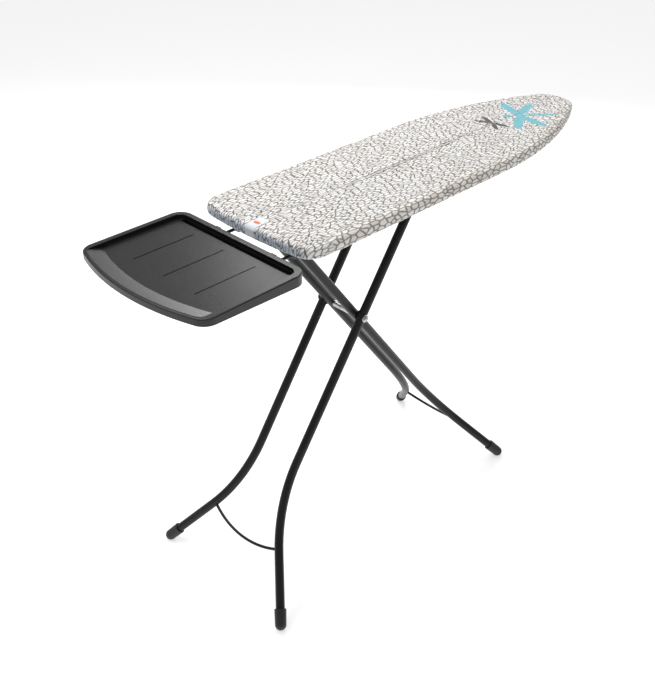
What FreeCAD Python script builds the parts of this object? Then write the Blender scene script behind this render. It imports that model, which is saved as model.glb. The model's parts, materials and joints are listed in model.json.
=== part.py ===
import FreeCAD, Part
import math
import os

V = FreeCAD.Vector

# ---------------------------------------------------------------- driving dimensions (mm)
BOARD_LENGTH = 1240.0        # rear edge to nose, over the cover
BOARD_WIDTH = 380.0          # over the cover
BOARD_HEIGHT = 1022.5        # floor to the top of the cover
COVER_DEPTH = 30.0           # the cover's rounded edge, top to hem

TUBE_RADIUS = 12.0           # leg tubes
TUBE_WALL = 1.5
AXLE_X = 307.0               # scissor axle, from the board's rear edge
AXLE_Z = 679.5
PIVOT_Z = 975.5              # both top pivots lie this high
OUTER_ANGLE = 55.3           # degrees above the floor, rising towards the nose
INNER_ANGLE = 52.8           # degrees above the floor, rising towards the tray
OUTER_HALF_GAP = 68.8        # tube centre to the middle plane
INNER_HALF_GAP = 41.0
LEG_SPLAY = 32.1             # degrees, of the straight stretch below the bend
BEND_START = 424.0           # along the tube, below the axle
OUTER_BEND = 435.0           # radius of the bend
INNER_BEND = 520.0

TRAY_BACK = -22.0            # tray's edge next to the board
TRAY_FRONT = -345.0          # tray's bowed edge, at the middle
TRAY_TOP = 1001.5
TRAY_DEPTH = 27.0            # of the skirt next to the board
TRAY_FRONT_DEPTH = 16.0      # of the skirt at the bowed edge
HINGE_X = -14.0              # tray hinge
HINGE_Z = 989.0
ARM_Y = 95.0                 # tray arms, and the rails above them

# everything below is drawn from the board's rear edge; the part's own origin is
# halfway along its length, so each finished shape is moved by SHIFT
SHIFT = V(-(BOARD_LENGTH + TRAY_FRONT) / 2.0, 0, 0)

SIDES = {"left": 1.0, "right": -1.0}

# ---------------------------------------------------------------- small helpers


def scaled(vector, factor):
    """A new vector, longer or shorter by a factor."""
    return V(vector.x * factor, vector.y * factor, vector.z * factor)


def box(x0, x1, y0, y1, z0, z1):
    """A box between two corners."""
    return Part.makeBox(x1 - x0, y1 - y0, z1 - z0, V(x0, y0, z0))


def rod(start, end, radius):
    """A round bar between two points."""
    run = end.sub(start)
    return Part.makeCylinder(radius, run.Length, start, run)


def cross_rod(x, z, y0, y1, radius):
    """A round bar lying across the board."""
    return rod(V(x, y0, z), V(x, y1, z), radius)


def cross_tube(x, z, y0, y1, radius, bore):
    """A round tube lying across the board."""
    return cross_rod(x, z, y0, y1, radius).cut(cross_rod(x, z, y0, y1, bore))


def save(name, shape):
    """Move a finished shape to the part's origin and write it."""
    placed = shape.copy()
    placed.translate(SHIFT)
    placed.exportStep("parts/" + name + ".step")
    solids = placed.Solids
    print(name, len(solids), round(placed.Volume / 1000.0, 2), placed.isValid())


# ---------------------------------------------------------------- the board's outline

HALF_WIDTH = BOARD_WIDTH / 2.0
TAPER_START = 700.0          # where the straight sides begin to curve in
TAPER_RADIUS = 1092.0
NOSE_RADIUS = 120.0
NOSE_CORNER = 50.0
REAR_RADIUS = 1500.0         # the rear edge is very slightly bowed
REAR_CORNER = 48.0


def circle_meet(first, first_radius, second, second_radius):
    """The point where two circles in the plane cross, left of the way from first to second."""
    span = second.sub(first)
    along = (first_radius ** 2 - second_radius ** 2 + span.Length ** 2) / (2.0 * span.Length)
    height = math.sqrt(first_radius ** 2 - along ** 2)
    direction = scaled(span, 1.0 / span.Length)
    normal = V(-direction.y, direction.x, 0)
    return first.add(scaled(direction, along)).add(scaled(normal, height))


def heading(start, end):
    """Angle of the direction from one point to another."""
    return math.atan2(end.y - start.y, end.x - start.x)


def outline_arcs():
    """Upper half of the outline: centre, radius, first angle, last angle."""
    rear = V(REAR_RADIUS, 0, 0)
    rear_corner_y = HALF_WIDTH - REAR_CORNER
    reach = math.sqrt((REAR_RADIUS - REAR_CORNER) ** 2 - rear_corner_y ** 2)
    rear_corner = V(REAR_RADIUS - reach, rear_corner_y, 0)
    taper = V(TAPER_START, HALF_WIDTH - TAPER_RADIUS, 0)
    nose = V(BOARD_LENGTH - NOSE_RADIUS, 0, 0)
    nose_corner = circle_meet(nose, NOSE_RADIUS - NOSE_CORNER, taper, TAPER_RADIUS - NOSE_CORNER)
    rear_turn = heading(rear, rear_corner)
    taper_turn = heading(taper, nose_corner)
    nose_turn = heading(nose, nose_corner)
    return [
        (rear, REAR_RADIUS, math.pi, rear_turn),
        (rear_corner, REAR_CORNER, rear_turn, math.pi / 2),
        (taper, TAPER_RADIUS, math.pi / 2, taper_turn),
        (nose_corner, NOSE_CORNER, taper_turn, nose_turn),
        (nose, NOSE_RADIUS, nose_turn, 0.0),
    ]


def outline_wire(inset, z):
    """The board's closed outline, moved inwards by inset, at height z."""
    def arc(centre, radius, first, last, flip):
        points = []
        for angle in (first, (first + last) / 2.0, last):
            x = centre.x + (radius - inset) * math.cos(angle)
            y = centre.y + (radius - inset) * math.sin(angle)
            points.append(V(x, flip * y, z))
        return points

    upper = [arc(*row, 1.0) for row in outline_arcs()]
    lower = [list(reversed(arc(*row, -1.0))) for row in reversed(outline_arcs())]
    edges = []
    previous = None
    for points in upper + lower:
        if previous is not None and previous.distanceToPoint(points[0]) > 0.01:
            edges.append(Part.LineSegment(previous, points[0]).toShape())
        edges.append(Part.Arc(*points).toShape())
        previous = points[2]
    return Part.Wire(edges)


def slab(inset, z0, z1):
    """A plate with the board's outline."""
    return Part.Face(outline_wire(inset, z0)).extrude(V(0, 0, z1 - z0))


def rounded_slab(inset, z0, z1, radius):
    """A plate with the board's outline and both its edges rounded."""
    body = slab(inset, z0, z1)
    rims = [e for e in body.Edges if abs(e.BoundBox.ZMax - e.BoundBox.ZMin) < 0.01]
    return body.makeFillet(radius, rims)


# ---------------------------------------------------------------- cover and padding

COVER_CLOTH = 1.5            # cotton with its thin backing
COVER_ROUND = 10.0
HEM_REACH = 34.0             # how far the hem turns in under the board
PAD_THICKNESS = 5.3
MESH_TOP = BOARD_HEIGHT - COVER_CLOTH - PAD_THICKNESS - 0.2
HEM_Z = BOARD_HEIGHT - COVER_DEPTH


LABEL_THICKNESS = 0.5
LABEL_HALF = 16.0
LABEL_REACH = 50.0
LABEL_DROP = 22.0            # how far the label runs down the cover's edge


def cover():
    """Fitted cover: top, rounded edge and a hem turned in underneath."""
    outside = rounded_slab(0, HEM_Z, BOARD_HEIGHT, COVER_ROUND)
    top = BOARD_HEIGHT - COVER_CLOTH
    inside = rounded_slab(COVER_CLOTH, HEM_Z + COVER_CLOTH, top, COVER_ROUND - COVER_CLOTH)
    mouth = slab(HEM_REACH, HEM_Z - 1.0, HEM_Z + 2.0 * COVER_CLOTH)
    return outside.cut(inside).cut(mouth).cut(cover_label())


def cover_label():
    """Small plain label let into the cloth over the rear edge."""
    skin = rounded_slab(0, HEM_Z, BOARD_HEIGHT, COVER_ROUND)
    top = BOARD_HEIGHT - LABEL_THICKNESS
    core = rounded_slab(
        LABEL_THICKNESS, HEM_Z + LABEL_THICKNESS, top, COVER_ROUND - LABEL_THICKNESS
    )
    patch = box(-5.0, LABEL_REACH, -LABEL_HALF, LABEL_HALF, BOARD_HEIGHT - LABEL_DROP, BOARD_HEIGHT + 5.0)
    return skin.cut(core).common(patch)


def foam_pad():
    """Felt and foam layer between the mesh and the cover."""
    return slab(9.0, MESH_TOP, MESH_TOP + PAD_THICKNESS)


def hem_elastic():
    """Elastic inside the hem's edge."""
    radius = 1.5
    z = HEM_Z + COVER_CLOTH + radius + 0.1
    path = outline_wire(HEM_REACH - 3.0, z)
    start = V(HEM_REACH - 3.0, 0, z)
    ring = Part.Wire(Part.makeCircle(radius, start, V(0, 1, 0)))
    return path.makePipeShell([ring], True, False)


# ---------------------------------------------------------------- steel top

MESH_THICKNESS = 1.0
MESH_BOTTOM = MESH_TOP - MESH_THICKNESS
RIM_INSET = 5.0
RIM_HEIGHT = 18.0
SHEET = 1.5                  # folded sheet in rim, rails and braces


def rim_frame():
    """Folded steel rim: a wall all round with a flange turned in under the mesh."""
    low = MESH_BOTTOM - RIM_HEIGHT
    wall = slab(RIM_INSET, low, MESH_BOTTOM).cut(slab(RIM_INSET + SHEET, low, MESH_BOTTOM))
    flange = slab(RIM_INSET, MESH_BOTTOM - SHEET, MESH_BOTTOM)
    flange = flange.cut(slab(RIM_INSET + 14.0, MESH_BOTTOM - SHEET, MESH_BOTTOM))
    return wall.fuse(flange).removeSplitter()


def top_mesh():
    """Steel top sheet with rows of long vent slots."""
    sheet = slab(7.0, MESH_BOTTOM, MESH_TOP)
    pitch_x, pitch_y = 70.0, 32.0
    slot_length, slot_width = 46.0, 14.0
    keep_in = slab(32.0, MESH_BOTTOM, MESH_TOP)
    slots = []
    for row in range(-4, 5):
        for column in range(17):
            x = 50.0 + column * pitch_x
            y = row * pitch_y
            y0 = y - slot_width / 2.0
            slot = box(x, x + slot_length, y0, y0 + slot_width, MESH_BOTTOM, MESH_TOP)
            if slot.common(keep_in).Volume > 0.999 * slot.Volume:
                slots.append(slot)
    return sheet.cut(Part.makeCompound(slots))


RAIL_WIDTH = 20.0
RAIL_BOTTOM = PIVOT_Z + 13.0  # the crossbar runs just clear of the rails
RAIL_START = 40.0
RAIL_END = 930.0
BRACES = {"rear": 190.0, "middle": 430.0, "front": 900.0}
BRACE_SIZE = 18.0


def cross_brace(x):
    """Angle section across the underside, between the two sides of the rim."""
    reach = HALF_WIDTH - RIM_INSET - 16.0
    if x > TAPER_START:
        reach -= 22.0
    low = MESH_BOTTOM - BRACE_SIZE
    upright = box(x, x + SHEET, -reach, reach, low, MESH_BOTTOM - SHEET)
    foot = box(x, x + BRACE_SIZE, -reach, reach, MESH_BOTTOM - SHEET, MESH_BOTTOM)
    return upright.fuse(foot).removeSplitter()


def side_rail(side):
    """Channel under the mesh that the crossbar runs beneath."""
    middle = side * ARM_Y
    half = RAIL_WIDTH / 2.0
    outer = box(RAIL_START, RAIL_END, middle - half, middle + half, RAIL_BOTTOM, MESH_BOTTOM)
    inner_half = half - SHEET
    floor = RAIL_BOTTOM + SHEET
    channel = outer.cut(
        box(RAIL_START, RAIL_END, middle - inner_half, middle + inner_half, floor, MESH_BOTTOM)
    )
    for x in BRACES.values():
        channel = channel.cut(cross_brace(x))
    slot_z = RELEASE_Z + RELEASE_THICKNESS
    slot = box(
        RELEASE_X - RELEASE_TRAVEL - 3.0, RELEASE_X + RELEASE_WIDTH + 3.0,
        middle - RAIL_WIDTH, middle + RAIL_WIDTH, RELEASE_Z - 3.0, slot_z + 3.0,
    )
    return channel.cut(slot)


# ---------------------------------------------------------------- rear pivot

PIVOT_X = AXLE_X - (PIVOT_Z - AXLE_Z) / math.tan(math.radians(INNER_ANGLE))
PIVOT_ROD_RADIUS = 5.0
RUNNING = 0.05               # radial clearance of a shaft in its bore
PIVOT_TUBE_HALF = 58.0
BRACKET_THICKNESS = 3.0
BRACKET_GAP = 1.0


def pivot_bracket(side):
    """Plate hanging from the mesh that holds one end of the pivot rod."""
    y0 = PIVOT_TUBE_HALF + BRACKET_GAP
    y1 = y0 + BRACKET_THICKNESS
    half = 20.0
    plate = box(PIVOT_X - half, PIVOT_X + half, y0, y1, PIVOT_Z, MESH_BOTTOM)
    plate = plate.fuse(cross_rod(PIVOT_X, PIVOT_Z, y0, y1, half))
    flange_z = MESH_BOTTOM - BRACKET_THICKNESS
    flange = box(PIVOT_X - half, PIVOT_X + half, y0, y0 + 18.0, flange_z, MESH_BOTTOM)
    plate = plate.fuse(flange).removeSplitter()
    plate = plate.cut(cross_rod(PIVOT_X, PIVOT_Z, y0 - 1, y1 + 1, PIVOT_ROD_RADIUS))
    return mirrored(plate, side)


def mirrored(shape, side):
    """The shape itself on the left, or its mirror image on the right."""
    if side > 0:
        return shape
    return shape.mirror(V(0, 0, 0), V(0, 1, 0))


def pivot_rod():
    """Fixed rod that the inner legs swing on."""
    half = PIVOT_TUBE_HALF + BRACKET_GAP + BRACKET_THICKNESS + 3.0
    return cross_rod(PIVOT_X, PIVOT_Z, -half, half, PIVOT_ROD_RADIUS)


def pivot_rod_caps():
    """Push-on caps at both ends of the pivot rod."""
    start = PIVOT_TUBE_HALF + BRACKET_GAP + BRACKET_THICKNESS
    cap = cross_rod(PIVOT_X, PIVOT_Z, start, start + 6.0, 8.5)
    cap = cap.makeFillet(2.0, [e for e in cap.Edges if abs(e.BoundBox.YMin - start - 6.0) < 0.01])
    cap = cap.cut(cross_rod(PIVOT_X, PIVOT_Z, start, start + 3.0, PIVOT_ROD_RADIUS))
    return Part.makeCompound([cap, mirrored(cap, -1.0)])


def inner_top_tube():
    """Cross tube at the top of the inner legs, bored out at its ends for the bushes."""
    return cross_tube(
        PIVOT_X, PIVOT_Z, -PIVOT_TUBE_HALF, PIVOT_TUBE_HALF, TUBE_RADIUS, TUBE_RADIUS - TUBE_WALL
    )


def pivot_bush(side):
    """Plastic bush between the cross tube and the pivot rod."""
    bush = cross_tube(
        PIVOT_X, PIVOT_Z, PIVOT_TUBE_HALF - 20.0, PIVOT_TUBE_HALF,
        TUBE_RADIUS - TUBE_WALL, PIVOT_ROD_RADIUS + RUNNING,
    )
    return mirrored(bush, side)


# ---------------------------------------------------------------- legs

CAP_RADIUS = 15.0
CAP_FLARE = 1.0              # the shoe's mouth is this much wider
CAP_LENGTH = 55.0
CAP_FLAT = 1.5               # worn flat under each foot


class Leg:
    """One straight-then-splayed tube lying in its leg frame's sloping plane."""

    def __init__(self, angle, towards, half_gap, bend_radius, top_x):
        self.angle = math.radians(angle)
        self.half_gap = half_gap
        self.bend_radius = bend_radius
        self.splay = math.radians(LEG_SPLAY)
        self.bend_end = BEND_START + bend_radius * math.sin(self.splay)
        # unit vector down the tube: the outer legs run back, the inner legs forward
        self.down = V(towards * math.cos(self.angle), 0, -math.sin(self.angle))
        self.top = -(V(top_x, 0, PIVOT_Z).sub(V(AXLE_X, 0, AXLE_Z))).Length
        foot_z = CAP_RADIUS - CAP_FLAT
        self.foot = (AXLE_Z - foot_z) / math.sin(self.angle)

    def point(self, s, y):
        """Place in space of a point s along the leg and y from the middle plane."""
        return V(AXLE_X, 0, AXLE_Z).add(V(self.down.x * s, y, self.down.z * s))

    def half_width(self, s):
        """Distance of the tube's centre from the middle plane."""
        if s <= BEND_START:
            return self.half_gap
        if s < self.bend_end:
            run = s - BEND_START
            return self.half_gap + self.bend_radius - math.sqrt(self.bend_radius ** 2 - run ** 2)
        rise = self.bend_radius * (1.0 - math.cos(self.splay))
        return self.half_gap + rise + (s - self.bend_end) * math.tan(self.splay)

    def spot(self, s):
        """Centre of the left tube at s."""
        return self.point(s, self.half_width(s))

    def path(self, first, last):
        """Centre line of the left tube."""
        middle = self.spot(BEND_START + self.bend_radius * math.sin(self.splay / 2.0))
        edges = [
            Part.LineSegment(self.spot(first), self.spot(BEND_START)).toShape(),
            Part.Arc(self.spot(BEND_START), middle, self.spot(self.bend_end)).toShape(),
            Part.LineSegment(self.spot(self.bend_end), self.spot(last)).toShape(),
        ]
        return Part.Wire(edges)

    def sweep(self, first, last, radius):
        """A round bar along the tube's centre line."""
        ring = Part.Wire(Part.makeCircle(radius, self.spot(first), self.down))
        return self.path(first, last).makePipeShell([ring], True, False)

    def foot_direction(self):
        """Direction of the straight stretch above the foot."""
        run = self.spot(self.foot).sub(self.spot(self.foot - 50.0))
        return scaled(run, 1.0 / run.Length)


OUTER_TOP_X = AXLE_X + (PIVOT_Z - AXLE_Z) / math.tan(math.radians(OUTER_ANGLE))
OUTER = Leg(OUTER_ANGLE, -1.0, OUTER_HALF_GAP, OUTER_BEND, OUTER_TOP_X)
INNER = Leg(INNER_ANGLE, 1.0, INNER_HALF_GAP, INNER_BEND, PIVOT_X)

AXLE_RADIUS = 4.0
BUSH_BARREL = 6.5
CROSSBAR_RADIUS = 10.0
CROSSBAR_HALF = 112.0
BRACE_ROD_RADIUS = 4.0
WELD_GAP = 0.05              # between an inner leg's mitred end and its cross tube


def leg_tube(leg, side, top_radius, top_x, hole_radius):
    """Leg tube, mitred on its top cross tube and drilled for the axle."""
    tube = leg.sweep(leg.top, leg.foot, TUBE_RADIUS).cut(
        leg.sweep(leg.top, leg.foot, TUBE_RADIUS - TUBE_WALL)
    )
    tube = tube.cut(cross_rod(top_x, PIVOT_Z, 0, 2 * leg.half_gap, top_radius))
    hole = cross_rod(AXLE_X, AXLE_Z, leg.half_gap - 20.0, leg.half_gap + 20.0, hole_radius)
    return mirrored(tube.cut(hole), side)


def foot_cap(leg, side):
    """Rounded plastic shoe pushed over the end of a leg."""
    centre = leg.spot(leg.foot)
    axis = leg.foot_direction()
    barrel_length = CAP_LENGTH - CAP_RADIUS
    upper = centre.sub(scaled(axis, barrel_length))
    barrel = Part.makeCone(CAP_RADIUS + CAP_FLARE, CAP_RADIUS, barrel_length, upper, axis)
    barrel = barrel.makeFillet(1.2, [barrel.Edges[nearest_edge(barrel, upper)]])
    cap = barrel.fuse(Part.makeSphere(CAP_RADIUS, centre)).removeSplitter()
    socket = rod(upper.sub(scaled(axis, 5.0)), centre, TUBE_RADIUS)
    cap = cap.cut(socket)
    floor = box(-2000, 2000, -1000, 1000, -60, 0)
    return mirrored(cap.cut(floor), side)


def nearest_edge(shape, point):
    """Index of the edge whose centre of mass lies nearest to a point."""
    gaps = [edge.CenterOfMass.distanceToPoint(point) for edge in shape.Edges]
    return gaps.index(min(gaps))


def brace_rod(leg, ends, sag):
    """Curved rod in the leg frame's plane, bowed down between the two tubes."""
    reach = leg.half_width(ends)
    path = Part.Wire(
        Part.Arc(leg.point(ends, -reach), leg.point(ends + sag, 0), leg.point(ends, reach)).toShape()
    )
    start = leg.point(ends, -reach)
    tangent = path.Edges[0].tangentAt(path.Edges[0].FirstParameter)
    ring = Part.Wire(Part.makeCircle(BRACE_ROD_RADIUS, start, tangent))
    bar = path.makePipeShell([ring], True, False)
    tube = leg.sweep(leg.top, leg.foot, TUBE_RADIUS)
    return bar.cut(tube).cut(mirrored(tube, -1.0))


def outer_crossbar():
    """Cross tube at the top of the outer legs."""
    return cross_tube(
        OUTER_TOP_X, PIVOT_Z, -CROSSBAR_HALF, CROSSBAR_HALF, CROSSBAR_RADIUS, CROSSBAR_RADIUS - TUBE_WALL
    )


def crossbar_plug(side):
    """Plastic plug in the end of the crossbar."""
    bore = CROSSBAR_RADIUS - TUBE_WALL
    tip = CROSSBAR_HALF + 4.0
    stem = cross_rod(OUTER_TOP_X, PIVOT_Z, CROSSBAR_HALF - 15.0, CROSSBAR_HALF, bore)
    head = cross_rod(OUTER_TOP_X, PIVOT_Z, CROSSBAR_HALF, tip, CROSSBAR_RADIUS)
    head = head.makeFillet(2.0, [e for e in head.Edges if abs(e.BoundBox.YMin - tip) < 0.01])
    return mirrored(stem.fuse(head).removeSplitter(), side)


# ---------------------------------------------------------------- scissor axle

WASHER_START = OUTER_HALF_GAP + TUBE_RADIUS + 0.2
WASHER_THICKNESS = 1.5
NUT_HEIGHT = 7.0


def axle_bolt():
    """Threaded rod through all four tubes."""
    half = WASHER_START + WASHER_THICKNESS + NUT_HEIGHT - 2.0
    return cross_rod(AXLE_X, AXLE_Z, -half, half, AXLE_RADIUS)


def spacer_sleeve():
    """Zinc-plated sleeve that keeps the two inner tubes apart."""
    half = INNER_HALF_GAP - TUBE_RADIUS
    return cross_tube(AXLE_X, AXLE_Z, -half, half, 8.5, AXLE_RADIUS)


def axle_bush(side):
    """Flanged plastic bush that an outer tube turns on."""
    inner_face = OUTER_HALF_GAP - TUBE_RADIUS
    outer_face = OUTER_HALF_GAP + TUBE_RADIUS
    flange = cross_rod(AXLE_X, AXLE_Z, inner_face - 2.0, inner_face, 13.0)
    barrel = cross_rod(AXLE_X, AXLE_Z, inner_face, outer_face, BUSH_BARREL)
    bush = flange.fuse(barrel).removeSplitter()
    bore = cross_rod(AXLE_X, AXLE_Z, inner_face - 5.0, outer_face + 5.0, AXLE_RADIUS + RUNNING)
    return mirrored(bush.cut(bore), side)


def axle_washers():
    """Plain washers outside the outer tubes."""
    washer = cross_tube(
        AXLE_X, AXLE_Z, WASHER_START, WASHER_START + WASHER_THICKNESS, 10.5, AXLE_RADIUS
    )
    return Part.makeCompound([washer, mirrored(washer, -1.0)])


def axle_nuts():
    """Domed cap nuts."""
    start = WASHER_START + WASHER_THICKNESS
    corners = []
    for step in range(6):
        angle = math.radians(60.0 * step)
        corners.append(V(AXLE_X + 7.5 * math.cos(angle), start, AXLE_Z + 7.5 * math.sin(angle)))
    hexagon = Part.Face(Part.makePolygon(corners + corners[:1])).extrude(V(0, 4.0, 0))
    dome = Part.makeSphere(6.2, V(AXLE_X, start + NUT_HEIGHT - 6.2, AXLE_Z))
    dome = dome.common(box(AXLE_X - 9, AXLE_X + 9, start, start + NUT_HEIGHT, AXLE_Z - 9, AXLE_Z + 9))
    nut = hexagon.fuse(dome).removeSplitter()
    nut = nut.cut(cross_rod(AXLE_X, AXLE_Z, start, start + NUT_HEIGHT - 2.0, AXLE_RADIUS))
    return Part.makeCompound([nut, mirrored(nut, -1.0)])


# ---------------------------------------------------------------- height release

RELEASE_TRAVEL = 14.0
RACK_START = OUTER_TOP_X - 14.0
RACK_LENGTH = 330.0
RACK_HEIGHT = 18.0
RACK_THICKNESS = 4.0
NOTCH_PITCH = 44.0
NOTCH_RADIUS = CROSSBAR_RADIUS + 0.8
RELEASE_X = 455.0            # rear edge of the cross strap at rest
RELEASE_WIDTH = 14.0
RELEASE_Z = PIVOT_Z + 20.0
RELEASE_THICKNESS = 3.0
RACK_BOTTOM = RAIL_BOTTOM
GUIDES = {"rear": 470.5, "front": 846.0}
GUIDE_LENGTH = 12.0
TONGUE_HEIGHT = 8.0
GRIP_OUT = 150.0             # outer end of the grip, from the middle plane
GRIP_WIDTH = 34.0
GRIP_DROP = 28.0


def height_rack():
    """Notched plate above the crossbar, with a tongue at each end for its guides."""
    top = RACK_BOTTOM + RACK_HEIGHT
    half = RACK_THICKNESS / 2.0
    plate = box(RACK_START, RACK_START + RACK_LENGTH, -half, half, RACK_BOTTOM, top)
    count = int(RACK_LENGTH // NOTCH_PITCH)
    for index in range(count):
        x = OUTER_TOP_X + index * NOTCH_PITCH
        plate = plate.cut(cross_rod(x, RACK_BOTTOM - 3.0, -half - 1, half + 1, NOTCH_RADIUS))
    tongue_end = GUIDES["front"] + GUIDE_LENGTH + RELEASE_TRAVEL + 16.0
    tongue = box(
        RELEASE_X + RELEASE_WIDTH, tongue_end, -half, half,
        RELEASE_Z, RELEASE_Z + TONGUE_HEIGHT,
    )
    return plate.fuse(tongue).removeSplitter()


def rack_guide(x):
    """Block under the mesh with a slot that the rack's tongue slides in."""
    block = box(x, x + GUIDE_LENGTH, -12.0, 12.0, RELEASE_Z - 4.0, MESH_BOTTOM)
    half = RACK_THICKNESS / 2.0 + 0.3
    low, high = RELEASE_Z - 0.3, RELEASE_Z + TONGUE_HEIGHT + 0.3
    slot = box(x - 1, x + GUIDE_LENGTH + 1, -half, half, low, high)
    return block.cut(slot)


def release_strap():
    """Flat strap from the rack across to the grip."""
    return box(
        RELEASE_X, RELEASE_X + RELEASE_WIDTH, -GRIP_OUT, 12.0,
        RELEASE_Z, RELEASE_Z + RELEASE_THICKNESS,
    )


def release_grip():
    """Plastic finger grip hanging from the strap just inside the rim."""
    y0 = -GRIP_OUT - 2.0
    low_z = RELEASE_Z - GRIP_DROP
    body = box(
        RELEASE_X - 4.0, RELEASE_X + RELEASE_WIDTH + 4.0, y0, y0 + GRIP_WIDTH, low_z, RELEASE_Z + 6.0
    )
    uprights = [e for e in body.Edges if e.BoundBox.ZLength > 1.0]
    body = body.makeFillet(5.0, uprights)
    low = [e for e in body.Edges if e.BoundBox.ZMax < low_z + 0.01]
    body = body.makeFillet(4.0, low)
    return body.cut(release_strap())


def return_spring():
    """Close-wound spring round the rack's front tongue, drawn as stacked turns."""
    wire = 1.2
    turns = 20
    bore = 4.9
    start = GUIDES["front"] + GUIDE_LENGTH + 1.0
    middle_z = RELEASE_Z + TONGUE_HEIGHT / 2.0
    edges = []
    for turn in range(turns):
        x = start + turn * wire
        first = V(x, 0, middle_z + bore + wire / 2.0)
        crown = V(x + wire / 2.0, 0, middle_z + bore + wire)
        last = V(x + wire, 0, middle_z + bore + wire / 2.0)
        edges.append(Part.Arc(first, crown, last).toShape())
    end = start + turns * wire
    corners = [
        V(end, 0, middle_z + bore + wire / 2.0),
        V(end, 0, middle_z + bore),
        V(start, 0, middle_z + bore),
        V(start, 0, middle_z + bore + wire / 2.0),
    ]
    for first, last in zip(corners, corners[1:]):
        edges.append(Part.LineSegment(first, last).toShape())
    return Part.Face(Part.Wire(edges)).revolve(V(0, 0, middle_z), V(1, 0, 0), 360.0)


# ---------------------------------------------------------------- tray

TRAY_FLOOR = TRAY_TOP - 10.0
TRAY_HALF_BACK = 217.0
TRAY_HALF_FRONT = 219.0
TRAY_BOW = 613.0             # radius of the front edge
TRAY_CORNER = 36.0
TRAY_EDGE = 3.0              # rounding of the top edge
TRAY_SHELL = 3.0
TRAY_RIM = 16.0              # flat edge round the recess
RECESS_CORNER = 22.0
RECESS_FILLET = 2.5
TRAY_LIP = 48.0              # width of the sloping front lip
LIP_EDGE = 8.0               # flat edge outside the lip
SLOT_X = -46.0
SLOT_WIDTH = 13.0
SLOT_HALF = 186.0
SLOT_DEPTH = 14.0            # the slot is a closed trough below the tray's floor
GROOVE_BACK = -77.0
GROOVE_FRONT = -244.0
GROOVE_PITCH = 107.0
GROOVE_WIDTH = 3.0
GROOVE_DEPTH = 1.2


def tray_outline(inset, z, front_inset=None):
    """Closed outline of the tray, moved inwards."""
    front = inset if front_inset is None else front_inset
    back_x = TRAY_BACK - inset
    front_x = TRAY_FRONT + front
    back_half = TRAY_HALF_BACK - inset
    front_half = TRAY_HALF_FRONT - inset
    bow = TRAY_BOW - front
    side_x = front_x + bow - math.sqrt(bow ** 2 - front_half ** 2)
    corners = [V(back_x, back_half, z), V(side_x, front_half, z)]
    corners += [V(side_x, -front_half, z), V(back_x, -back_half, z)]
    edges = [
        Part.LineSegment(corners[0], corners[1]).toShape(),
        Part.Arc(corners[1], V(front_x, 0, z), corners[2]).toShape(),
        Part.LineSegment(corners[2], corners[3]).toShape(),
        Part.LineSegment(corners[3], corners[0]).toShape(),
    ]
    return Part.Face(Part.Wire(edges))


def is_line(edge):
    """True for a straight edge."""
    return isinstance(edge.Curve, (Part.Line, Part.LineSegment))


def tray_block(inset, z0, z1, radius, front_inset=None):
    """The tray's outline as a block with round corners."""
    block = tray_outline(inset, z0, front_inset).extrude(V(0, 0, z1 - z0))
    corners = [e for e in block.Edges if e.BoundBox.ZLength > 0.5 * (z1 - z0) and is_line(e)]
    return block.makeFillet(radius, corners)


def tray_lip_cut():
    """Wedge that leaves the lip sloping from the front edge down to the floor."""
    outer = tray_block(TRAY_RIM, TRAY_FLOOR, TRAY_TOP + 5.0, RECESS_CORNER, LIP_EDGE)
    far = TRAY_FRONT + TRAY_BOW
    # a cone about the same centre as the bowed edge gives an even slope
    inner_radius = TRAY_BOW - TRAY_LIP
    outer_radius = TRAY_BOW - LIP_EDGE
    rise = TRAY_TOP - TRAY_FLOOR
    cone = Part.makeCone(inner_radius, outer_radius, rise, V(far, 0, TRAY_FLOOR), V(0, 0, 1))
    above = Part.makeCylinder(outer_radius, rise, V(far, 0, TRAY_TOP))
    return outer.common(cone.fuse(above))


def slot_block(wall, top):
    """Long round-ended block of the slot's hollow, grown by the thickness of a wall."""
    half = SLOT_WIDTH / 2.0 + wall
    end = SLOT_HALF + wall
    bottom = TRAY_FLOOR - SLOT_DEPTH - wall
    block = box(SLOT_X - half, SLOT_X + half, -end, end, bottom, top)
    ends = [e for e in block.Edges if e.BoundBox.ZLength > 1.0]
    return block.makeFillet(half - 0.1, ends)


def skirt_cut():
    """Wedge below the tray: its skirt is deep next to the board and shallow in front."""
    low = TRAY_TOP - TRAY_DEPTH
    half = TRAY_HALF_FRONT + 10.0
    corners = [
        V(TRAY_BACK, -half, low),
        V(TRAY_FRONT, -half, TRAY_TOP - TRAY_FRONT_DEPTH),
        V(TRAY_FRONT - 10.0, -half, low - 10.0),
        V(TRAY_BACK, -half, low - 10.0),
    ]
    return Part.Face(Part.makePolygon(corners + corners[:1])).extrude(V(0, 2.0 * half, 0))


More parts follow.
